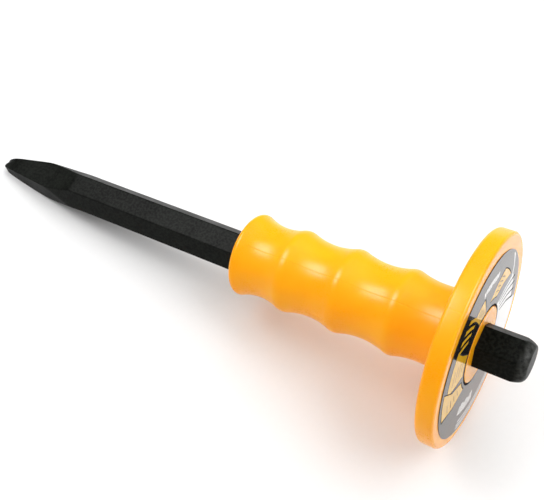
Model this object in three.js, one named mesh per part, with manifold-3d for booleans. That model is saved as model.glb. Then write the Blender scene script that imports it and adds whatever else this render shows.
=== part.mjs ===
// A pointed concrete chisel with a hand guard: a forged hexagonal bar, a one-piece moulded grip and guard
// pushed on to it, and a printed ring label on the guard's struck side.
// Millimetres. The origin is where the bar's axis leaves the point's blunt end, +X runs along the bar to the
// struck face, and +Z is the normal of one of the bar's flats.

import * as THREE from "three";
import { mergeVertices } from "three/addons/utils/BufferGeometryUtils.js";
import Module from "manifold-3d";

// Driving dimensions of the bar.
const barLength = 300;
const barAcrossFlats = 18;
const barEdgeRadius = 0.4;

// The point has four forged faces, steeper at the blunt end. Each profile is [x, distance from the axis].
// The upper and lower faces are hollow where they run out into the flats. The side faces lean, which leaves
// the upper face narrower than the lower one, and the near one stands further out at the blunt end.
const flatFaceProfile = [[0, 2.3], [10.6, 3.8], [36, 5.7], [42.5, 6.4], [48, 7.5], [54, 9], [60, 10.6]];
const nearFaceProfile = [[0, 3.8], [10.6, 5.3], [46, 9.3], [60, 11.2]];
const farFaceProfile = [[0, 2.6], [10.6, 4.4], [33, 8.1], [60, 11.2]];
const pointFaces = [
  { angle: 0, profile: flatFaceProfile },
  { angle: 78, profile: nearFaceProfile },
  { angle: 180, profile: flatFaceProfile },
  { angle: -84, profile: farFaceProfile },
]; // the way each face looks, in degrees from +Z towards -Y

// The struck head has a turned chamfer.
const headEndRadius = 7.75;
const headChamferSlope = 0.508; // radius lost for each millimetre along

// The grip: a lip at the front, three ridges, and a groove for each of four fingers.
const gripStart = 163; // along the bar
const boreGap = 0.3; // a press fit on the real tool
const mouldingCentre = [1, 0.5]; // Y and Z: the moulding sits a little off the bar's axis
const gripLength = 106.7; // up to the guard
const firstRidge = 26; // from the front end
const groovePitch = 27;
const lipRadius = 20;
const lipRound = 2;
const ridgeRadius = 19.7;
const ridgeRound = 6.5;
const grooveRadii = [17.4, 17.4, 17.5, 17.7];
const guardFillet = 1.5;

// The guard disc, with a low boss on its struck side. The boss and the label round it are centred on the bar.
const guardRadius = 48;
const guardThickness = 8.3;
const guardFrontRound = 2;
const guardRearRound = 1.5;
const bossRadius = 17;
const bossHeight = 0.5;

const labelInnerRadius = 17.3;
const labelOuterRadius = 42;
const labelThickness = 0.3;

// Facets.
const turnSegments = 60;
const ridgeSteps = 2;
const grooveSteps = 4;
const roundSteps = 3;

// Lengths inside the grip, counted from its front end.
const guardFront = gripLength;
const guardRear = guardFront + guardThickness;
const bossRear = guardRear + bossHeight;

const quarterTurn = Math.PI / 2;
const wasm = await Module();
wasm.setup();

// Exact axis swaps: an extrusion's Z and a turned shape's Y both become +X.
const extrudedAlongX = new THREE.Matrix4().makeBasis(
  new THREE.Vector3(0, 1, 0),
  new THREE.Vector3(0, 0, 1),
  new THREE.Vector3(1, 0, 0),
);
const turnedAboutX = new THREE.Matrix4().makeBasis(
  new THREE.Vector3(0, 0, 1),
  new THREE.Vector3(1, 0, 0),
  new THREE.Vector3(0, 1, 0),
);

function solidFrom(geometry) {
  const bare = geometry.clone();
  bare.deleteAttribute("normal");
  bare.deleteAttribute("uv");
  const merged = mergeVertices(bare, 1e-4);
  return new wasm.Manifold(
    new wasm.Mesh({
      numProp: 3,
      vertProperties: merged.attributes.position.array,
      triVerts: new Uint32Array(merged.index.array),
    }),
  );
}

function geometryFrom(solid) {
  const mesh = solid.getMesh();
  const geometry = new THREE.BufferGeometry();
  geometry.setAttribute("position", new THREE.BufferAttribute(mesh.vertProperties, 3));
  geometry.setIndex(new THREE.BufferAttribute(mesh.triVerts, 1));
  const faceted = geometry.toNonIndexed();
  faceted.computeVertexNormals();
  return faceted;
}

// A hexagonal prism along +X from `start`, two of its flats facing +Z and -Z.
function hexPrism(acrossFlats, edgeRadius, start, length) {
  const outline = new THREE.Shape();
  const cornerCentre = (acrossFlats / 2 - edgeRadius) / Math.cos(Math.PI / 6);
  for (let corner = 0; corner < 6; corner++) {
    const angle = (corner * Math.PI) / 3;
    const y = cornerCentre * Math.cos(angle);
    const z = cornerCentre * Math.sin(angle);
    outline.absarc(y, z, edgeRadius, angle - Math.PI / 6, angle + Math.PI / 6, false);
  }
  const geometry = new THREE.ExtrudeGeometry(outline, {
    depth: length,
    bevelEnabled: false,
    curveSegments: 2,
  });
  geometry.applyMatrix4(extrudedAlongX);
  geometry.translate(start, 0, 0);
  return solidFrom(geometry);
}

// A solid turned about +X from a profile of [x, radius] points.
function turnedSolid(profile) {
  const points = profile.map(([x, radius]) => new THREE.Vector2(radius, x));
  const turned = new THREE.LatheGeometry(points, turnSegments);
  turned.applyMatrix4(turnedAboutX);
  return solidFrom(turned);
}

// What is forged away outside one face of the point: all that lies beyond its profile.
function outsidePointFace({ angle, profile }) {
  const clear = barAcrossFlats; // beyond every corner of the bar
  const outline = new THREE.Shape();
  outline.moveTo(-1, profile[0][1]);
  profile.forEach(([x, distance]) => outline.lineTo(x, distance));
  outline.lineTo(profile[profile.length - 1][0], clear);
  outline.lineTo(-1, clear);
  const geometry = new THREE.ExtrudeGeometry(outline, { depth: 2 * clear, bevelEnabled: false });
  geometry.translate(0, 0, -clear);
  const turn = (angle * Math.PI) / 180;
  const along = new THREE.Vector3(1, 0, 0);
  const outward = new THREE.Vector3(0, -Math.sin(turn), Math.cos(turn));
  const sideways = new THREE.Vector3().crossVectors(along, outward);
  geometry.applyMatrix4(new THREE.Matrix4().makeBasis(along, outward, sideways));
  return solidFrom(geometry);
}

// The bar is the hexagonal stock, forged to a point and chamfered at the struck head.
function barGeometry() {
  const clear = barAcrossFlats;
  const chamfer = turnedSolid([
    [0, 0],
    [0, clear],
    [barLength - (clear - headEndRadius) / headChamferSlope, clear],
    [barLength, headEndRadius],
    [barLength, 0],
  ]);
  let bar = hexPrism(barAcrossFlats, barEdgeRadius, 0, barLength).intersect(chamfer);
  for (const face of pointFaces) {
    bar = bar.subtract(outsidePointFace(face));
  }
  return geometryFrom(bar);
}

// One side of a finger groove: a ridge's round top and the groove's hollow, two arcs that meet tangentially.
// `fromRidge` is the side that falls into the groove, and the other side climbs to the next ridge.
function grooveSide(path, ridge, groove, fromRidge) {
  const depth = ridge.radius - groove.radius;
  const run = Math.abs(groove.x - ridge.x);
  const radiiTogether = (run * run + depth * depth) / (2 * depth);
  const turn = Math.asin(run / radiiTogether);
  const ridgeCentre = ridge.radius - ridge.round;
  const hollow = radiiTogether - ridge.round;
  const hollowCentre = groove.radius + hollow;
  if (fromRidge) {
    path.absarc(ridge.x, ridgeCentre, ridge.round, quarterTurn, quarterTurn - turn, true);
    path.absarc(groove.x, hollowCentre, hollow, 3 * quarterTurn - turn, 3 * quarterTurn, false);
  } else {
    path.absarc(groove.x, hollowCentre, hollow, 3 * quarterTurn, 3 * quarterTurn + turn, false);
    path.absarc(ridge.x, ridgeCentre, ridge.round, quarterTurn + turn, quarterTurn, true);
  }
}

// The last groove runs out into the guard's front face through a small fillet.
function grooveIntoGuard(path, groove) {
  const run = guardFront - groove.x;
  const depth = ridgeRadius - groove.radius;
  const hollow = (run * run + depth * depth) / (2 * depth);
  const hollowCentre = groove.radius + hollow;
  const filletX = guardFront - guardFillet;
  const reach = hollow - guardFillet;
  const drop = Math.sqrt(reach * reach - (filletX - groove.x) ** 2);
  const filletAngle = Math.atan2(-drop, filletX - groove.x);
  path.absarc(groove.x, hollowCentre, hollow, -quarterTurn, filletAngle, false);
  path.absarc(filletX, hollowCentre - drop, guardFillet, filletAngle, 0, false);
}

// Where each ridge stands, the lip first. The ridges after it are evenly spaced.
function ridgePlaces() {
  return grooveRadii.map((_, index) => {
    return index === 0 ? lipRound : firstRidge + groovePitch * (index - 1);
  });
}

// The outline of grip and guard in the plane of the axis: x along the bar, y the radius.
function gripOutline() {
  const outline = new THREE.Path();
  outline.moveTo(0, 0);
  outline.lineTo(0, lipRadius - lipRound);
  outline.absarc(lipRound, lipRadius - lipRound, lipRound, Math.PI, quarterTurn, true);
  const places = ridgePlaces();
  places.forEach((ridgeX, index) => {
    const nextX = places[index + 1] ?? guardFront;
    const groove = { x: (ridgeX + nextX) / 2, radius: grooveRadii[index] };
    const lip = { x: ridgeX, radius: lipRadius, round: lipRound };
    const before = index === 0 ? lip : { x: ridgeX, radius: ridgeRadius, round: ridgeRound };
    grooveSide(outline, before, groove, true);
    if (nextX < guardFront) {
      grooveSide(outline, { x: nextX, radius: ridgeRadius, round: ridgeRound }, groove, false);
    } else {
      grooveIntoGuard(outline, groove);
    }
  });
  const frontX = guardFront + guardFrontRound;
  const rearX = guardRear - guardRearRound;
  outline.absarc(frontX, guardRadius - guardFrontRound, guardFrontRound, Math.PI, quarterTurn, true);
  outline.absarc(rearX, guardRadius - guardRearRound, guardRearRound, quarterTurn, 0, true);
  outline.lineTo(guardRear, 0);
  return outline;
}

// The outline's points: few on the short round edges, more along the grooves.
function outlinePoints(outline) {
  const points = [];
  for (const curve of outline.curves) {
    let steps = 1;
    if (curve.isEllipseCurve) {
      const small = curve.xRadius <= ridgeRound;
      steps = small ? roundSteps : grooveSteps;
      if (curve.xRadius === ridgeRound) steps = ridgeSteps;
    }
    const first = points.length ? 1 : 0;
    points.push(...curve.getPoints(steps).slice(first));
  }
  return points;
}

function gripGeometry() {
  const profile = outlinePoints(gripOutline()).map((point) => [point.x, Math.max(point.y, 0)]);
  const moulding = turnedSolid(profile).translate(0, ...mouldingCentre);
  const boss = turnedSolid([
    [guardFront, 0],
    [guardFront, bossRadius],
    [bossRear, bossRadius],
    [bossRear, 0],
  ]);
  const boreAcrossFlats = barAcrossFlats + 2 * boreGap;
  const bore = hexPrism(boreAcrossFlats, barEdgeRadius, -1, bossRear + 2);
  return geometryFrom(moulding.add(boss).subtract(bore));
}

// The label: a thin flat ring, its back on the guard's struck side.
function labelGeometry() {
  const ring = turnedSolid([
    [0, labelInnerRadius],
    [0, labelOuterRadius],
    [labelThickness, labelOuterRadius],
    [labelThickness, labelInnerRadius],
    [0, labelInnerRadius],
  ]);
  return geometryFrom(ring);
}

const blackLacquer = new THREE.MeshStandardMaterial({
  color: 0x1b1b1c,
  roughness: 0.42,
  metalness: 0.25,
});
const amberVinyl = new THREE.MeshStandardMaterial({
  color: 0xffa50c,
  roughness: 0.45,
  metalness: 0,
});
const glossyPrint = new THREE.MeshStandardMaterial({
  color: 0x151517,
  roughness: 0.18,
  metalness: 0,
});

function namedMesh(name, geometry, material) {
  const mesh = new THREE.Mesh(geometry, material);
  mesh.name = name;
  return mesh;
}

const guard = new THREE.Group();
guard.position.x = gripStart;
guard.add(namedMesh("hand_guard_grip", gripGeometry(), amberVinyl));
const label = namedMesh("guard_label", labelGeometry(), glossyPrint);
label.position.x = guardRear;
guard.add(label);

const chisel = new THREE.Group();
chisel.add(namedMesh("chisel_bar", barGeometry(), blackLacquer));
chisel.add(guard);

export default chisel;
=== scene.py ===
"""A pointed concrete chisel with a hand guard: its looks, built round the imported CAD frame.

Each of the three CAD nodes is stood for by a finer mesh of the same size: the forged bar, the moulded grip
with its guard, and the printed ring label. Lengths are in metres. +X runs along the bar to the struck face,
and +Z is the normal of one of the bar's flats.
"""

import math

import bmesh
import bpy
from mathutils import Matrix, Vector, geometry, noise


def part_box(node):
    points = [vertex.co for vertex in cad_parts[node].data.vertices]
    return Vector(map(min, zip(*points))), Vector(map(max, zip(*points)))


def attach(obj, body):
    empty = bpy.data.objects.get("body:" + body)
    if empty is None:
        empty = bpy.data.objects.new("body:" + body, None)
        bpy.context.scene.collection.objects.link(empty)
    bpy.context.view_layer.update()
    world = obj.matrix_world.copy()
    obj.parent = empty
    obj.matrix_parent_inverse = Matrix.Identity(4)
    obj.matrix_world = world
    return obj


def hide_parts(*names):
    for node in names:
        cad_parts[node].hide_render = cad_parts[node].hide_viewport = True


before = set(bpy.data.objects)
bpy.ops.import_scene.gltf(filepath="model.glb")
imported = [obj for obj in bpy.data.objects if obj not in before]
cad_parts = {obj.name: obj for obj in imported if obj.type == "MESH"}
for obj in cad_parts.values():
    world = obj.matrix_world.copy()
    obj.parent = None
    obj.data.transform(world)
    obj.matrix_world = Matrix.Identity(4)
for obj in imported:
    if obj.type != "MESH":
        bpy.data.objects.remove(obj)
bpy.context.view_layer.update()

MM = 0.001

# The CAD boxes give the overall sizes and places.
bar_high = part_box("chisel_bar")[1]
grip_low, grip_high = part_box("hand_guard_grip")
label_low, label_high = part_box("guard_label")
BAR_LENGTH = bar_high.x
BAR_FLAT = bar_high.z  # from the axis to a flat
GRIP_START = grip_low.x
GUARD_REAR = label_low.x
BOSS_REAR = grip_high.x
GUARD_RADIUS = (grip_high.z - grip_low.z) / 2
MOULDING_CENTRE = Vector((0, grip_low.y + grip_high.y, grip_low.z + grip_high.z)) / 2
LABEL_TOP = label_high.x
LABEL_RADIUS = label_high.z

# The point's four forged faces. A profile is (x, distance from the axis) in millimetres, and a face is the
# way it looks, in degrees from +Z towards -Y, with its profile.
FLAT_FACE = [(0, 2.3), (10.6, 3.8), (36, 5.7), (42.5, 6.4), (48, 7.5), (54, 9), (60, 10.6)]
NEAR_FACE = [(0, 3.8), (10.6, 5.3), (46, 9.3), (60, 11.2)]
FAR_FACE = [(0, 2.6), (10.6, 4.4), (33, 8.1), (60, 11.2)]
POINT_FACES = [(0, FLAT_FACE), (78, NEAR_FACE), (180, FLAT_FACE), (-84, FAR_FACE)]
POINT_LENGTH = 60 * MM
PROFILE_EASING = (-1.5, -0.75, 0, 0.75, 1.5)  # millimetres either side that a profile is averaged over

# The blunt end's worn rim, as how far its round goes along the bar and across it.
RIM_WEAR = (2.2 * MM, 1.5 * MM)
CORNER_WEAR = (5 * MM, 1.0 * MM)  # more on its upper far corner
WORN_CORNER = math.radians(-50)

# The six rolled flats. Hammering spread the two lower ones just behind the point.
FLATS = 6
SWOLLEN_FLATS = (2, 4)
SWELL = 1.3 * MM
SWELL_PLACE = 37 * MM
SWELL_LENGTH = 16 * MM
EDGE_SOFTNESS = 0.13 * MM  # a rolled edge's round is about five times this

# The struck head's turned chamfer and rounded rim.
HEAD_END_RADIUS = 7.75 * MM
HEAD_CHAMFER_SLOPE = 0.508
HEAD_ROUND = 0.8 * MM
HEAD_WEAR = 1.2 * MM  # more round on its lower near side
HEAD_WORN_SIDE = math.radians(120)

# Uneven surfaces, as (how far apart the waves are, how high they are).
ROLLING_WAVES = (11 * MM, 0.03 * MM)
HAMMER_WAVES = (5 * MM, 0.07 * MM)
MOULDING_WAVES = (14 * MM, 0.06 * MM)

# The grip and guard.
GUARD_FRONT = GUARD_REAR - 8.3 * MM
FIRST_RIDGE = GRIP_START + 26 * MM
GROOVE_PITCH = 27 * MM
LIP_RADIUS = 20 * MM
LIP_ROUND = 2 * MM
RIDGE_RADIUS = 19.7 * MM
RIDGE_ROUND = 6.5 * MM
GROOVE_RADII = [17.4 * MM, 17.4 * MM, 17.5 * MM, 17.7 * MM]
GUARD_FILLET = 1.5 * MM
GUARD_FRONT_ROUND = 2 * MM
GUARD_REAR_ROUND = 1.5 * MM
BOSS_RADIUS = 17 * MM
BOSS_ROUND = 0.2 * MM
BORE_GAP = 0.12 * MM
BORE_MOUTH = 0.6 * MM
SKIN_RADIUS = 16 * MM  # the moulding's outer skin is further from the axis than this, and its bore nearer
SEAMS = [math.radians(10), math.radians(190)]  # the two parting lines, from +Z towards -Y
SEAM_DEPTH = 0.07 * MM
SEAM_WIDTH = 0.16 * MM

# How finely the meshes are cut.
TURN_STEPS = 240
EDGE_STEPS = 12
RIDGE_STEPS = 6
GROOVE_STEPS = 16
LAST_GROOVE_STEPS = 18
FILLET_STEPS = 10
BOSS_STEPS = 5
BORE_STEPS = 20
MOUTH_STEPS = 6
FACE_MARGIN = 0.4 * MM  # a ring this far inside a rounded rim keeps the flat face next to it flat
BOSS_MARGIN = 0.3 * MM  # the same on the boss
LABEL_STEPS = 180
HOLE_STEPS = 120

# The label. A shape of its print has two radii in millimetres, two angles in degrees from +Z towards -Y, and
# how many degrees its outer edge is turned against its inner one.
LABEL_HOLE = 17.3
BROAD_WHITES = [(17.6, 36, -142, -78, -14), (30, 41.6, -146, -116, -6)]
RULED_LINES = [(20, 38, angle, angle + 1.6, -14) for angle in (-106, -99, -92, -85)]
NARROW_WHITE = [(34, 41, -97, -93, 24)]
AMBER_PATCHES = [
    (21.5, 33.5, -59, -35, -24),
    (19, 29, -23, -3, 6),
    (19, 36, 36, 68, -7),
    (20, 39.5, 79, 103, -24),
]
AMBER_STROKES = [(26, 36, 7.2 * k - 3, 7.2 * k + 0.6, 10) for k in range(4)]
WHITE_ARCS = [(radius, radius + 0.8, 128, 205, 0) for radius in (36.4, 38.4, 40)]
# A thin dark ring in line ink round the hole, along the boss's foot, where it darkens the edge between the
# boss and the label.
HOLE_LINE = [(LABEL_HOLE, LABEL_HOLE + 0.9, start, start + 180, 0) for start in (-90, 90)]
DASH_ROWS = [(31, 3.2, -29, 8), (27, 5.5, 136, 9)]  # inner radius, height, middle angle, number of dashes

# How the tool lies: on the guard's rim and the lowest edge of the point, rolled a little from its flat.
ROLL = math.radians(13.9)
POINT_REACH = 2.9 * MM  # from the axis down to the floor at the blunt end
GUARD_REACH = GUARD_RADIUS - MOULDING_CENTRE.y * math.sin(ROLL) - MOULDING_CENTRE.z * math.cos(ROLL)
RESTING_RIM = GUARD_FRONT + GUARD_FRONT_ROUND  # where the rim touches the floor
LEAN = math.atan((GUARD_REACH - POINT_REACH) / RESTING_RIM)

# The lights. A softbox is its name, its direction from the tool, its size, and how bright its face looks.
LEFT_LIGHT = (-0.466, 0.092, 0.879)
RIGHT_LIGHT = (0.655, 0.313, 0.695)
BACK_LIGHT = (0.15, 0.8, 0.58)
FILLS = [
    ("left_fill", LEFT_LIGHT, 0.6, 4.4),
    ("right_fill", RIGHT_LIGHT, 0.6, 3.9),
    ("back_fill", BACK_LIGHT, 1.2, 2.4),
]
HIGHLIGHTS = [
    ("left_highlight", LEFT_LIGHT, 0.62, 20),
    ("right_highlight", RIGHT_LIGHT, 0.62, 23),
]
SOFTBOX_DISTANCE = 1.2
LIT_PLACE = Vector((0.75 * BAR_LENGTH, 0, 0))  # what the softboxes face

# How bright the walls are as lights, in reflections, and where the camera looks past the floor.
WALLS = 0.66
MIRRORED_WALLS = 0.12
SEEN_WALLS = 0.97

FLOOR_REACH = 3  # from the tool to each edge

# The camera's place, the way it looks, and its up.
CAMERA_AT = Vector((0.3410, -0.1104, 0.3315))
CAMERA_AHEAD = Vector((-0.43389, 0.30001, -0.84955))
CAMERA_UP = Vector((-0.31704, 0.83178, 0.45566))
LENS = 54.4
SENSOR_WIDTH = 36

# Colours, as linear red, green and blue.
DEEP_BLACK = (0.001, 0.0013, 0.0008)
SOFT_BLACK = (0.0082, 0.0098, 0.0075)
WORN_BLACK = (0.055, 0.056, 0.053)
DEEP_AMBER = (1.0, 0.37, 0.001)
PALE_AMBER = (1.0, 0.40, 0.002)
DIM_PAPER = (0.76, 0.76, 0.76)
BRIGHT_PAPER = (0.78, 0.78, 0.78)

# The label's inks: name, colour, and how strongly it mirrors.
INKS = [
    ("black_ink", (0.012, 0.012, 0.013), 0.5),
    ("amber_ink", (0.80, 0.44, 0.02), 0.5),
    ("white_ink", (0.86, 0.86, 0.86), 0.5),
    ("line_ink", (0.03, 0.03, 0.032), 0),
]
BLACK_INK, AMBER_INK, WHITE_INK, LINE_INK = range(len(INKS))


# Mesh helpers.

def new_object(name, mesh):
    made = bpy.data.objects.new(name, mesh)
    bpy.context.scene.collection.objects.link(made)
    return made


def finish_mesh(bm, name, smooth=True):
    bmesh.ops.recalc_face_normals(bm, faces=bm.faces)
    for face in bm.faces:
        face.smooth = smooth
    mesh = bpy.data.meshes.new(name)
    bm.to_mesh(mesh)
    bm.free()
    return mesh


def across(angle):
    """The unit vector square to the axis, at an angle from +Z towards -Y."""
    return Vector((0, -math.sin(angle), math.cos(angle)))


def even_angles(count):
    """Even angles all round the axis."""
    return [math.radians(360 / count * k) for k in range(count)]


def evenly(start, end, count):
    """Even steps from start to end, start left out."""
    return [start + (end - start) * k / count for k in range(1, count + 1)]


def waves(place, size, height):
    """Smooth unevenness at a place, with waves of a given size and height."""
    return noise.noise(place / size) * height


def join_rings(bm, rings):
    """Faces between each ring of vertices and the next."""
    for ring, following in zip(rings, rings[1:]):
        for k in range(len(ring)):
            after = (k + 1) % len(ring)
            bm.faces.new((ring[k], ring[after], following[after], following[k]))


# The forged bar.

def profile_at(profile, place):
    """A profile's distance from the axis at a place along it, its last stretch carried on past its end."""
    for start, end in zip(profile, profile[1:]):
        share = (place - start[0]) / (end[0] - start[0])
        if share <= 1:
            break
    return start[1] + share * (end[1] - start[1])


def profile_distance(profile, x):
    """The distance of a point face from the axis at x, its corners eased a little."""
    places = [max(x / MM + offset, profile[0][0]) for offset in PROFILE_EASING]
    return sum(profile_at(profile, place) for place in places) / len(places) * MM


def soft_least(values, softness):
    """The least of some values, a little less where two are nearly equal, which rounds the edge there."""
    least = min(values)
    return least - softness * math.log(sum(math.exp((least - value) / softness) for value in values))


def end_inset(into, length, depth):
    """How far a round rim stands back from the full section, at a distance into the bar from its end."""
    if into >= length:
        return 0
    return depth * (1 - math.sqrt(1 - (1 - into / length) ** 2))


def bar_radius(x, angle):
    """The bar's surface: six rolled flats, the point's four faces, and the head's chamfer."""
    swell = SWELL * math.exp(-((x - SWELL_PLACE) / SWELL_LENGTH) ** 2)
    faces = []
    for flat in range(FLATS):
        distance = BAR_FLAT + (swell if flat in SWOLLEN_FLATS else 0)
        faces.append((math.tau / FLATS * flat, distance))
    if x < POINT_LENGTH:
        faces += [(math.radians(look), profile_distance(profile, x)) for look, profile in POINT_FACES]
    reaches = [HEAD_END_RADIUS + HEAD_CHAMFER_SLOPE * (BAR_LENGTH - x)]
    least_facing = 0.2  # a face turned further away than this doesn't bound the bar here
    for look, distance in faces:
        facing = math.cos(angle - look)
        if facing > least_facing:
            reaches.append(distance / facing)
    radius = soft_least(reaches, EDGE_SOFTNESS)
    wear = max(0, math.cos(angle - WORN_CORNER))
    rim = [even + wear * more for even, more in zip(RIM_WEAR, CORNER_WEAR)]
    head_rim = HEAD_ROUND + HEAD_WEAR * max(0, math.cos(angle - HEAD_WORN_SIDE))
    return radius - end_inset(x, *rim) - end_inset(BAR_LENGTH - x, head_rim, head_rim)


def forging_marks(place):
    """Faint waves left by rolling, stronger hammer marks towards the point."""
    near_point = max(0, 1 - place.x / POINT_LENGTH)
    size, height = HAMMER_WAVES
    shift = size * Vector((7, 3, 5))
    return waves(place, *ROLLING_WAVES) + near_point * waves(place + shift, size, height)


def bar_stations():
    """Where the bar's rings stand, close together where its section changes."""
    rim = [0.04, 0.15, 0.35, 0.6, 0.9, 1.2, 1.6, 2]
    point = evenly(2, 60, 58)
    shank = evenly(60, 285, 90)
    head = evenly(285, 298.5, 18)
    head_rim = [BAR_LENGTH / MM - into for into in (1, 0.6, 0.35, 0.15, 0.04)]
    return [x * MM for x in rim + point + shank + head + head_rim]


def end_face(bm, x, rim):
    """A flat end a little inside a rim, and its ring of vertices."""
    share = 0.9
    ring = [bm.verts.new((x, share * vert.co.y, share * vert.co.z)) for vert in rim]
    bm.faces.new(ring)
    return ring


def forged_bar():
    bm = bmesh.new()
    rings = []
    for x in bar_stations():
        ring = []
        for angle in even_angles(TURN_STEPS):
            place = Vector((x, 0, 0)) + bar_radius(x, angle) * across(angle)
            ring.append(bm.verts.new(place + forging_marks(place) * across(angle)))
        rings.append(ring)
    blunt_end = end_face(bm, 0, rings[0])
    struck_end = end_face(bm, BAR_LENGTH, rings[-1])
    join_rings(bm, [blunt_end] + rings + [struck_end])
    return new_object("forged_bar", finish_mesh(bm, "forged_bar"))


# The moulded grip and guard.

def arc(centre, radius, start, end, steps):
    """Points of an arc in the (x, radius) plane, angles in radians from +X."""
    points = []
    for step in range(steps + 1):
        angle = start + (end - start) * step / steps
        points.append((centre[0] + radius * math.cos(angle), centre[1] + radius * math.sin(angle)))
    return points


def groove_side(ridge, groove, falling):
    """Half a finger groove: a ridge's round top and the groove's hollow, two arcs that meet tangentially.

    ridge is (x, radius, rounding) and groove is (x, radius). A falling side runs from ridge to groove.
    """
    depth = ridge[1] - groove[1]
    run = abs(groove[0] - ridge[0])
    radii = (run * run + depth * depth) / (2 * depth)
    turn = math.asin(run / radii)
    hollow = radii - ridge[2]
    top_centre = (ridge[0], ridge[1] - ridge[2])
    hollow_centre = (groove[0], groove[1] + hollow)
    quarter = math.pi / 2
    if falling:
        top = arc(top_centre, ridge[2], quarter, quarter - turn, RIDGE_STEPS)
        return top + arc(hollow_centre, hollow, 3 * quarter - turn, 3 * quarter, GROOVE_STEPS)
    bottom = arc(hollow_centre, hollow, 3 * quarter, 3 * quarter + turn, GROOVE_STEPS)
    return bottom + arc(top_centre, ridge[2], quarter + turn, quarter, RIDGE_STEPS)


def groove_into_guard(groove):
    """The last groove runs out into the guard's front face through a small fillet."""
    run = GUARD_FRONT - groove[0]
    depth = RIDGE_RADIUS - groove[1]
    hollow = (run * run + depth * depth) / (2 * depth)
    fillet_x = GUARD_FRONT - GUARD_FILLET
    drop = math.sqrt((hollow - GUARD_FILLET) ** 2 - (fillet_x - groove[0]) ** 2)
    turn = math.atan2(-drop, fillet_x - groove[0])
    hollow_centre = (groove[0], groove[1] + hollow)
    fillet_centre = (fillet_x, hollow_centre[1] - drop)
    bottom = arc(hollow_centre, hollow, -math.pi / 2, turn, LAST_GROOVE_STEPS)
    return bottom + arc(fillet_centre, GUARD_FILLET, turn, 0, FILLET_STEPS)


def guard_outline():
    """The guard's front face beyond the fillet, its rounded rim, and its rear face."""
    front_centre = (GUARD_FRONT + GUARD_FRONT_ROUND, GUARD_RADIUS - GUARD_FRONT_ROUND)
    rear_centre = (GUARD_REAR - GUARD_REAR_ROUND, GUARD_RADIUS - GUARD_REAR_ROUND)
    beyond_fillet = LIP_RADIUS + 2 * MM
    outline = [(GUARD_FRONT, beyond_fillet), (GUARD_FRONT, front_centre[1] - FACE_MARGIN)]
    outline += arc(front_centre, GUARD_FRONT_ROUND, math.pi, math.pi / 2, EDGE_STEPS)
    outline += arc(rear_centre, GUARD_REAR_ROUND, math.pi / 2, 0, EDGE_STEPS)
    return outline + [(GUARD_REAR, rear_centre[1] - FACE_MARGIN)]


def moulding_outline():
    """The moulding from the front of the bore to the guard's rear face, as (x, radius) points."""
    lip = (GRIP_START + LIP_ROUND, LIP_RADIUS, LIP_ROUND)
    ridge_places = [FIRST_RIDGE + GROOVE_PITCH * k for k in range(len(GROOVE_RADII) - 1)]
    ridges = [(x, RIDGE_RADIUS, RIDGE_ROUND) for x in ridge_places]
    lip_centre = (lip[0], LIP_RADIUS - LIP_ROUND)
    outline = [(GRIP_START, lip_centre[1] - FACE_MARGIN)]
    outline += arc(lip_centre, LIP_ROUND, math.pi, math.pi / 2, EDGE_STEPS)
    for before, after, radius in zip([lip] + ridges, ridges, GROOVE_RADII):
        groove = ((before[0] + after[0]) / 2, radius)
        outline += groove_side(before, groove, falling=True)
        outline += groove_side(after, groove, falling=False)
    last_groove = ((ridges[-1][0] + GUARD_FRONT) / 2, GROOVE_RADII[-1])
    outline += groove_side(ridges[-1], last_groove, falling=True)
    outline += groove_into_guard(last_groove)
    return without_repeats(outline + guard_outline())


def boss_outline():
    """The low boss on the guard's rear face, as (x, radius) points."""
    centre = (BOSS_REAR - BOSS_ROUND, BOSS_RADIUS - BOSS_ROUND)
    outline = [(GUARD_REAR, BOSS_RADIUS + BOSS_ROUND), (GUARD_REAR, BOSS_RADIUS)]
    outline += arc(centre, BOSS_ROUND, math.pi / 2, 0, BOSS_STEPS)
    return outline + [(BOSS_REAR, centre[1] - BOSS_MARGIN)]


def without_repeats(points):
    """The points without those that stand where the one before does."""
    apart = 0.01 * MM
    kept = [points[0]]
    for point in points[1:]:
        if math.dist(point, kept[-1]) > apart:
            kept.append(point)
    return kept


def moulding_angles():
    """Even angles round the axis, with a few more beside each parting line."""
    clear = math.radians(2)
    even = [a for a in even_angles(TURN_STEPS) if all(abs(a - seam) > clear for seam in SEAMS)]
    one_side = [math.radians(a) for a in (0.3, 0.55, 0.8, 1.1, 1.6)]
    beside = [-a for a in one_side] + [0] + one_side
    return sorted(even + [seam + a for seam in SEAMS for a in beside])


def bore_radius(angle):
    """The radius of the hexagonal bore at an angle, its flats facing the bar's."""
    sixth = math.tau / FLATS
    from_flat = (angle + sixth / 2) % sixth - sixth / 2
    return (BAR_FLAT + BORE_GAP) / math.cos(from_flat)


def seam_offset(angle, radius):
    """The fine groove where the two halves of the mould met."""
    depth = 0
    for seam in SEAMS:
        sideways = abs((angle - seam + math.pi) % math.tau - math.pi) * radius
        depth += SEAM_DEPTH * math.exp(-((sideways / SEAM_WIDTH) ** 2))
    return -depth


# A ring of the moulding is its x, its radius as a function of the angle, and its centre.

def skin_ring(x, radius):
    return (x, lambda angle: radius + seam_offset(angle, radius), MOULDING_CENTRE)


def boss_ring(x, radius):
    return (x, lambda angle: radius, Vector())


def end_ring(x, share):
    """A ring on an end face, share of the way from the bore's mouth to a circle."""
    circle = 0.9 * BOSS_RADIUS
    return (x, lambda angle: share * circle + (1 - share) * (bore_radius(angle) + BORE_MOUTH), Vector())


def bore_ring(x, wider=0):
    return (x, lambda angle: bore_radius(angle) + wider, Vector())


def bore_mouth(x, inward):
    """Rings from the end face at x to the bore, inward being the way the bore runs from there."""
    rings = [end_ring(x, share) for share in (0.5, 0)]
    for step in range(1, MOUTH_STEPS + 1):
        turn = step / MOUTH_STEPS * math.pi / 2
        depth = BORE_MOUTH * (1 - math.cos(turn))
        rings.append(bore_ring(x + inward * depth, BORE_MOUTH * (1 - math.sin(turn))))
    return rings


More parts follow.
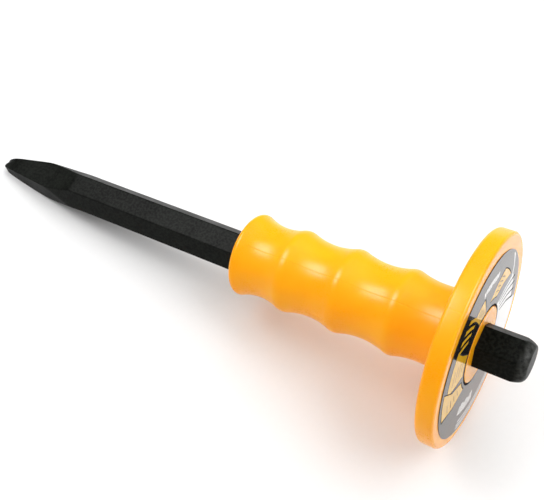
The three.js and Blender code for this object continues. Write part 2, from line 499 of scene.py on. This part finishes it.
def moulding_rings():
    """Rings all round the section: over the outside to the rear, then back through the bore."""
    outside = [skin_ring(x, radius) for x, radius in moulding_outline()]
    boss = [boss_ring(x, radius) for x, radius in boss_outline()]
    bore = [bore_ring(x) for x in evenly(BOSS_REAR, GRIP_START, BORE_STEPS)[:-1]]
    return outside + boss + bore_mouth(BOSS_REAR, -1) + bore + bore_mouth(GRIP_START, 1)[::-1]


def moulded_grip():
    bm = bmesh.new()
    angles = moulding_angles()
    rings = []
    for x, radius_at, centre in moulding_rings():
        middle = Vector((x, 0, 0)) + centre
        rings.append([bm.verts.new(middle + radius_at(a) * across(a)) for a in angles])
    join_rings(bm, rings + rings[:1])
    bmesh.ops.recalc_face_normals(bm, faces=bm.faces)
    skin_end = GUARD_REAR - 0.2 * MM
    offsets = []
    for vert in bm.verts:
        on_skin = math.hypot(vert.co.y, vert.co.z) > SKIN_RADIUS and vert.co.x < skin_end
        offsets.append(waves(vert.co, *MOULDING_WAVES) * vert.normal if on_skin else Vector())
    for vert, offset in zip(bm.verts, offsets):
        vert.co += offset
    return new_object("moulded_grip", finish_mesh(bm, "moulded_grip"))


# The printed ring label. A printed shape is its outline's points and its ink.

def label_point(radius, angle):
    """A point of the label's plane, seen from the struck end: angle from +Z, turning towards -Y."""
    side = radius * across(angle)
    return Vector((side.y, side.z))


def circle_points(radius, count):
    """A circle of the label's plane, its radius in metres."""
    return [label_point(radius, angle) for angle in even_angles(count)]


def ring_patch(inner, outer, start, end, slant=0):
    """A patch between two radii in millimetres and two angles in degrees.

    slant is how many degrees its outer edge is turned against its inner one.
    """
    usual_step = 5  # degrees
    least_steps = 6
    steps = max(least_steps, round((end - start) / usual_step))
    angles = [math.radians(start + (end - start) * step / steps) for step in range(steps + 1)]
    turn = math.radians(slant)
    middle = (inner + outer) / 2
    points = [label_point(outer * MM, angle + turn) for angle in angles]
    points.append(label_point(middle * MM, angles[-1] + turn / 2))
    points += [label_point(inner * MM, angle) for angle in reversed(angles)]
    points.append(label_point(middle * MM, angles[0] + turn / 2))
    return points


def printed(patches, ink_index):
    """The shapes of some patches, all in one ink."""
    return [(ring_patch(*patch), ink_index) for patch in patches]


def outlined_patch(inner, outer, start, end, slant):
    """A slanting amber patch with a thin dark line round it and a ladder of dark marks inside."""
    line = 0.5  # millimetres
    line_turn = 1.2  # degrees
    around = (inner - line, outer + line, start - line_turn, end + line_turn, slant)
    shapes = printed([around], LINE_INK) + printed([(inner, outer, start, end, slant)], AMBER_INK)
    height = outer - inner
    width = end - start
    mark_height = 0.35
    mark_width = 0.45 * width
    for index in range(4):
        rise = (0.2 + 0.17 * index) * height
        aside = (0.15 + 0.08 * index) * width
        mark_start = start + aside + slant * rise / height
        mark = (inner + rise, inner + rise + mark_height, mark_start, mark_start + mark_width)
        shapes += printed([mark], LINE_INK)
    return shapes


def dash_row(inner, height, middle, count):
    """A row of short white bars, one in three of them shorter."""
    pitch = 3.7
    half_width = 1.4
    shorter = 0.2 * height
    dashes = []
    for index in range(count):
        angle = middle + (index - (count - 1) / 2) * pitch
        low = inner if index % 3 else inner + shorter
        dashes.append((low, inner + height, angle - half_width, angle + half_width))
    return printed(dashes, WHITE_INK)


def label_shapes():
    """Every shape on the label, each laid over the ones before."""
    shapes = printed(BROAD_WHITES, WHITE_INK)
    shapes += printed(RULED_LINES, LINE_INK)
    shapes += printed(NARROW_WHITE, WHITE_INK)
    for patch in AMBER_PATCHES:
        shapes += outlined_patch(*patch)
    shapes += printed(AMBER_STROKES, AMBER_INK)
    for row in DASH_ROWS:
        shapes += dash_row(*row)
    shapes += printed(WHITE_ARCS, WHITE_INK)
    return shapes + printed(HOLE_LINE, LINE_INK)


def cut_along(outlines):
    """The outlines' plane cut into triangles: points, corners, and the outlines each triangle is inside."""
    points = []
    loops = []
    for outline in outlines:
        loops.append(list(range(len(points), len(points) + len(outline))))
        points += outline
    same_place = 1e-7
    only_inside = 1
    cut = geometry.delaunay_2d_cdt(points, [], loops, only_inside, same_place, True)
    cut_points, _, triangles, _, _, loops_round = cut
    return cut_points, triangles, loops_round


def ring_label():
    """The printed film, each shape a set of faces of its own."""
    edge = circle_points(LABEL_RADIUS, LABEL_STEPS)
    hole_edge = circle_points(LABEL_HOLE * MM, HOLE_STEPS)
    shapes = [(edge, BLACK_INK), (hole_edge, None)] + label_shapes()
    hole = 1  # the shape whose inside is left out
    points, triangles, shapes_round = cut_along([outline for outline, ink_index in shapes])
    bm = bmesh.new()
    verts = [bm.verts.new((LABEL_TOP, point.x, point.y)) for point in points]
    for corners, around in zip(triangles, shapes_round):
        if hole in around or not around:
            continue
        face = bm.faces.new([verts[c] for c in corners])
        last_printed = shapes[max(around)]
        face.material_index = last_printed[1]
    bmesh.ops.delete(bm, geom=[v for v in bm.verts if not v.link_faces], context="VERTS")
    mesh = finish_mesh(bm, "ring_label", smooth=False)
    if mesh.polygons[0].normal.x < 0:
        mesh.flip_normals()
    label = new_object("ring_label", mesh)
    film = label.modifiers.new("film thickness", "SOLIDIFY")
    film.thickness = LABEL_TOP - GUARD_REAR
    film.offset = -1
    return label


# Materials.

# The spans of a noise that are stretched over a result: the narrower, the harder the pattern's edges.
SOFT_SPAN = (0.3, 0.7)
MIDDLE_SPAN = (0.35, 0.65)
HARD_SPAN = (0.4, 0.6)


class Shader:
    """A material's node tree with short calls to add and join nodes."""

    def __init__(self, name):
        self.material = bpy.data.materials.new(name)
        self.material.use_nodes = True
        self.nodes = self.material.node_tree.nodes
        self.links = self.material.node_tree.links
        self.surface = self.nodes["Principled BSDF"]
        self.place = self.nodes.new("ShaderNodeTexCoord").outputs["Object"]

    def join(self, source, target):
        self.links.new(source, target)

    def noise(self, size, detail=3, roughness=0.5):
        """Noise whose features are about size metres across, from 0 to 1."""
        node = self.nodes.new("ShaderNodeTexNoise")
        node.inputs["Scale"].default_value = 1 / size
        node.inputs["Detail"].default_value = detail
        node.inputs["Roughness"].default_value = roughness
        self.join(self.place, node.inputs["Vector"])
        return node.outputs["Fac"]

    def along(self):
        """How far along the bar the point is, in metres."""
        node = self.nodes.new("ShaderNodeSeparateXYZ")
        self.join(self.place, node.inputs["Vector"])
        return node.outputs["X"]

    def remap(self, value, span, result):
        """The value, stretched so that a span of it runs over the result, both (low, high)."""
        node = self.nodes.new("ShaderNodeMapRange")
        node.inputs["From Min"].default_value = span[0]
        node.inputs["From Max"].default_value = span[1]
        node.inputs["To Min"].default_value = result[0]
        node.inputs["To Max"].default_value = result[1]
        self.join(value, node.inputs["Value"])
        return node.outputs["Result"]

    def maths(self, operation, first, second):
        node = self.nodes.new("ShaderNodeMath")
        node.operation = operation
        for socket, value in zip(node.inputs, (first, second)):
            if isinstance(value, (int, float)):
                socket.default_value = value
            else:
                self.join(value, socket)
        return node.outputs["Value"]

    def mix(self, share, first, second):
        """A colour between two, share being a socket from 0 to 1."""
        node = self.nodes.new("ShaderNodeMix")
        node.data_type = "RGBA"
        self.join(share, node.inputs["Factor"])
        colours = [socket for socket in node.inputs if socket.type == "RGBA"]
        for socket, value in zip(colours, (first, second)):
            if isinstance(value, tuple):
                socket.default_value = (*value, 1)
            else:
                self.join(value, socket)
        return next(socket for socket in node.outputs if socket.type == "RGBA")

    def bump(self, height, distance, strength, normal=None):
        node = self.nodes.new("ShaderNodeBump")
        node.inputs["Distance"].default_value = distance
        node.inputs["Strength"].default_value = strength
        self.join(height, node.inputs["Height"])
        if normal is not None:
            self.join(normal, node.inputs["Normal"])
        return node.outputs["Normal"]

    def set(self, name, value):
        """Gives an input of the surface a value, or joins a socket to it."""
        socket = self.surface.inputs[name]
        if isinstance(value, (int, float, tuple)):
            socket.default_value = value
        else:
            self.join(value, socket)


def black_lacquer():
    """Satin black lacquer over forged steel: mottled, with orange peel, cloudy gloss and a few scuffs."""
    shader = Shader("black_lacquer")
    cloud = shader.noise(14 * MM, detail=4)
    speck = shader.noise(1.3 * MM)
    peel = shader.noise(0.9 * MM)
    grain = shader.noise(0.25 * MM, detail=2)
    scuffs = shader.noise(2.5 * MM, detail=4, roughness=0.6)

    fine_mottle = shader.remap(speck, HARD_SPAN, (-0.35, 0.35))
    broad_mottle = shader.remap(cloud, MIDDLE_SPAN, (0.35, 0.65))
    paint = shader.mix(shader.maths("ADD", fine_mottle, broad_mottle), DEEP_BLACK, SOFT_BLACK)

    head_rim = (BAR_LENGTH - 4.5 * MM, BAR_LENGTH - 2 * MM)
    wear_at_head = shader.remap(shader.along(), head_rim, (0, 0.8))
    wear_at_point = shader.remap(shader.along(), (0, 6 * MM), (0.35, 0))
    wear = shader.maths("MAXIMUM", wear_at_head, wear_at_point)
    patchy_wear = shader.maths("MULTIPLY", wear, shader.remap(scuffs, (0.35, 0.6), (0.2, 1)))

    cloudy_gloss = shader.remap(cloud, SOFT_SPAN, (0.33, 0.45))
    fine_gloss = shader.remap(grain, SOFT_SPAN, (-0.03, 0.03))
    peel_bump = shader.bump(peel, 0.09 * MM, 0.8)
    shader.set("Base Color", shader.mix(patchy_wear, paint, WORN_BLACK))
    shader.set("Roughness", shader.maths("ADD", cloudy_gloss, fine_gloss))
    shader.set("Specular IOR Level", 0.047)
    shader.set("Normal", shader.bump(grain, 0.012 * MM, 0.6, peel_bump))
    return shader.material


def amber_vinyl():
    """Soft moulded vinyl: slightly cloudy colour, satin skin with a fine grain, light scattering inside.

    The struck side is glossier, from the flat plate of the mould.
    """
    shader = Shader("amber_vinyl")
    cloud = shader.noise(22 * MM)
    grain = shader.noise(0.55 * MM)
    flow = shader.noise(5 * MM, detail=2)
    struck_side = shader.remap(shader.along(), (GUARD_REAR - 0.5 * MM, GUARD_REAR - 0.1 * MM), (0, 1))

    cloudy_satin = shader.remap(cloud, SOFT_SPAN, (0.27, 0.33))
    fine_satin = shader.remap(grain, SOFT_SPAN, (-0.03, 0.03))
    satin = shader.maths("ADD", cloudy_satin, fine_satin)
    flow_bump = shader.bump(flow, 0.06 * MM, 0.5)
    shader.set("Base Color", shader.mix(shader.remap(cloud, MIDDLE_SPAN, (0, 1)), DEEP_AMBER, PALE_AMBER))
    shader.set("Roughness", shader.maths("SUBTRACT", satin, shader.maths("MULTIPLY", struck_side, 0.1)))
    shader.set("Specular IOR Level", shader.remap(struck_side, (0, 1), (0.18, 0.7)))
    shader.set("Subsurface Weight", 0.25)
    shader.set("Subsurface Radius", (1.0, 0.45, 0.1))
    shader.set("Subsurface Scale", 2.5 * MM)
    shader.set("Normal", shader.bump(grain, 0.012 * MM, 0.5, flow_bump))
    return shader.material


def ink(name, colour, mirror):
    """Glossy printed film, slightly uneven where it's stuck down. mirror is its reflections' strength."""
    shader = Shader(name)
    speckle = shader.noise(0.3 * MM, detail=2)
    wave = shader.noise(9 * MM, detail=2)
    darker = tuple(0.85 * channel for channel in colour)
    shader.set("Base Color", shader.mix(speckle, darker, colour))
    shader.set("Roughness", shader.remap(speckle, SOFT_SPAN, (0.07, 0.12)))
    shader.set("IOR", 1.5)
    shader.set("Specular IOR Level", mirror)
    shader.set("Normal", shader.bump(wave, 0.05 * MM, 0.4))
    return shader.material


def pale_floor():
    """Matt white paper sweep. Its underside lets the camera see through."""
    shader = Shader("pale_floor")
    fibre = shader.noise(3 * MM, detail=4)
    shader.set("Base Color", shader.mix(fibre, DIM_PAPER, BRIGHT_PAPER))
    shader.set("Roughness", 0.6)
    shader.set("Specular IOR Level", 0.2)
    through = shader.nodes.new("ShaderNodeBsdfTransparent")
    mixed = shader.nodes.new("ShaderNodeMixShader")
    facing = shader.nodes.new("ShaderNodeNewGeometry")
    shader.join(facing.outputs["Backfacing"], mixed.inputs[0])
    shader.join(shader.surface.outputs[0], mixed.inputs[1])
    shader.join(through.outputs[0], mixed.inputs[2])
    shader.join(mixed.outputs[0], shader.nodes["Material Output"].inputs["Surface"])
    return shader.material


# The stage.

def up_from_floor():
    level = across(-ROLL)
    return (math.cos(LEAN) * level + math.sin(LEAN) * Vector((1, 0, 0))).normalized()


def floor():
    rim = Vector((RESTING_RIM, 0, 0)) + MOULDING_CENTRE - GUARD_RADIUS * across(-ROLL)
    turned = up_from_floor().to_track_quat("Z", "Y").to_matrix().to_4x4()
    bm = bmesh.new()
    bmesh.ops.create_grid(bm, x_segments=1, y_segments=1, size=FLOOR_REACH)
    made = new_object("floor", finish_mesh(bm, "floor", smooth=False))
    made.matrix_world = Matrix.Translation(rim) @ turned
    made.data.materials.append(pale_floor())


def softbox(name, direction, size, radiance):
    """A square soft light that faces the tool. Its power is worked out from how bright its face looks."""
    data = bpy.data.lights.new(name, "AREA")
    data.shape = "SQUARE"
    data.size = size
    data.energy = radiance * math.pi * size * size
    light = new_object(name, data)
    toward = Vector(direction).normalized()
    light.location = LIT_PLACE + SOFTBOX_DISTANCE * toward
    light.rotation_mode = "QUATERNION"
    light.rotation_quaternion = toward.to_track_quat("Z", "Y")
    return light


def surroundings():
    """Pale walls: they light the tool, are dimmer where it mirrors them, and white past the floor."""
    world = bpy.data.worlds.new("studio")
    bpy.context.scene.world = world
    world.use_nodes = True
    nodes = world.node_tree.nodes
    links = world.node_tree.links
    ray = nodes.new("ShaderNodeLightPath").outputs
    mirrored = nodes.new("ShaderNodeMapRange")
    mirrored.inputs["To Min"].default_value = WALLS
    mirrored.inputs["To Max"].default_value = MIRRORED_WALLS
    links.new(ray["Is Glossy Ray"], mirrored.inputs["Value"])
    seen = nodes.new("ShaderNodeMapRange")
    seen.inputs["To Max"].default_value = SEEN_WALLS
    links.new(ray["Is Camera Ray"], seen.inputs["Value"])
    links.new(mirrored.outputs["Result"], seen.inputs["To Min"])
    links.new(seen.outputs["Result"], nodes["Background"].inputs["Strength"])
    nodes["Background"].inputs["Color"].default_value = (1, 1, 1, 1)


def studio():
    """Broad fills that throw soft shadows and aren't mirrored, and bright boxes that are only mirrored."""
    for fill in FILLS:
        softbox(*fill).visible_glossy = False
    for highlight in HIGHLIGHTS:
        softbox(*highlight).visible_diffuse = False
    surroundings()
    bpy.context.scene.view_settings.view_transform = "Standard"


def camera():
    data = bpy.data.cameras.new("camera")
    data.lens = LENS
    data.sensor_width = SENSOR_WIDTH
    made = new_object("camera", data)
    right = CAMERA_AHEAD.cross(CAMERA_UP)
    turned = Matrix((right, CAMERA_UP, -CAMERA_AHEAD)).transposed().to_4x4()
    made.matrix_world = Matrix.Translation(CAMERA_AT) @ turned
    bpy.context.scene.camera = made


# Assembly.

bar = forged_bar()
bar.data.materials.append(black_lacquer())
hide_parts("chisel_bar")

grip = moulded_grip()
grip.data.materials.append(amber_vinyl())
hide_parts("hand_guard_grip")

label = ring_label()
for name, colour, mirror in INKS:
    label.data.materials.append(ink(name, colour, mirror))
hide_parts("guard_label")

for piece in (bar, grip, label):
    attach(piece, "root")

floor()
studio()
camera()
